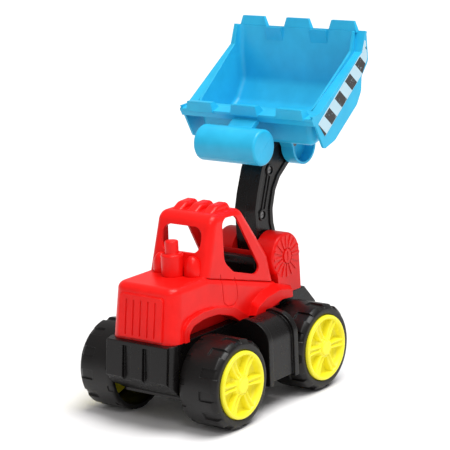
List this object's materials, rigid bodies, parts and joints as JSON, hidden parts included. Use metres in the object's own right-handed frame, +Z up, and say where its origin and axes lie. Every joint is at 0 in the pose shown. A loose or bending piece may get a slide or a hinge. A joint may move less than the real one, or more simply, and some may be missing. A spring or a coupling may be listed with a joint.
{
  "type": "toy wheel loader",
  "caption": "Toy front loader with a lifting boom, a tipping scoop with a palm grip, and free-rolling wheels",
  "frame": {"origin": "on the ground under the middle of the whole length", "axes": "+X forward to the bucket, +Y to the vehicle's left, +Z up"},
  "size_m": [0.2986, 0.178, 0.3694],
  "materials": {
    "red_plastic": "glossy moulded plastic",
    "black_plastic": "satin moulded plastic",
    "blue_plastic": "satin-gloss moulded plastic",
    "yellow_plastic": "glossy moulded plastic",
    "tyre_plastic": "hard moulded tyre with a soft sheen",
    "steel": "plated screw and pin steel",
    "hazard_print": "printed film"
  },
  "bodies": {
    "vehicle": {"chassis": "black_plastic", "belly_plate": "black_plastic", "belly_screws": "steel", "side_tank_left": "black_plastic", "side_tank_right": "black_plastic", "body_shell": "red_plastic", "grille": "red_plastic", "rear_humps": "red_plastic", "stack": "red_plastic", "cab_interior": "black_plastic", "turret_cheek_left": "red_plastic", "turret_cheek_right": "red_plastic", "lift_pin": "steel", "axle_front": "steel", "axle_rear": "steel"},
    "boom": {"boom_half_left": "black_plastic", "boom_half_right": "black_plastic", "boom_screws": "steel"},
    "bucket_body": {"bucket": "blue_plastic", "tilt_pin": "steel", "grip_upper": "yellow_plastic", "grip_lower": "yellow_plastic", "hazard_panel_left": "hazard_print", "hazard_panel_right": "hazard_print"},
    "wheel_front_left": {"tyre_front_left": "tyre_plastic", "hub_front_left": "yellow_plastic", "hub_cap_front_left": "yellow_plastic", "sleeve_front_left": "yellow_plastic"},
    "wheel_front_right": {"tyre_front_right": "tyre_plastic", "hub_front_right": "yellow_plastic", "hub_cap_front_right": "yellow_plastic", "sleeve_front_right": "yellow_plastic"},
    "wheel_rear_left": {"tyre_rear_left": "tyre_plastic", "hub_rear_left": "yellow_plastic", "hub_cap_rear_left": "yellow_plastic", "sleeve_rear_left": "yellow_plastic"},
    "wheel_rear_right": {"tyre_rear_right": "tyre_plastic", "hub_rear_right": "yellow_plastic", "hub_cap_rear_right": "yellow_plastic", "sleeve_rear_right": "yellow_plastic"}
  },
  "joints": [
    {"name": "boom_lift", "type": "hinge", "parent": "vehicle", "child": "boom", "pos_m": [0.05825, 0, 0.134], "axis": [0, 1, 0], "range_deg": [0, 100]},
    {"name": "bucket_tilt", "type": "hinge", "parent": "boom", "child": "bucket_body", "pos_m": [0.10825, 0, 0.243], "axis": [0, -1, 0], "range_deg": [-90, 0]},
    {"name": "wheel_spin_front_left", "type": "hinge", "parent": "vehicle", "child": "wheel_front_left", "pos_m": [0.05225, 0.064, 0.045], "axis": [0, 1, 0], "continuous": true},
    {"name": "wheel_spin_front_right", "type": "hinge", "parent": "vehicle", "child": "wheel_front_right", "pos_m": [0.05225, -0.064, 0.045], "axis": [0, 1, 0], "continuous": true},
    {"name": "wheel_spin_rear_left", "type": "hinge", "parent": "vehicle", "child": "wheel_rear_left", "pos_m": [-0.09175, 0.064, 0.045], "axis": [0, 1, 0], "continuous": true},
    {"name": "wheel_spin_rear_right", "type": "hinge", "parent": "vehicle", "child": "wheel_rear_right", "pos_m": [-0.09175, -0.064, 0.045], "axis": [0, 1, 0], "continuous": true}
  ]
}
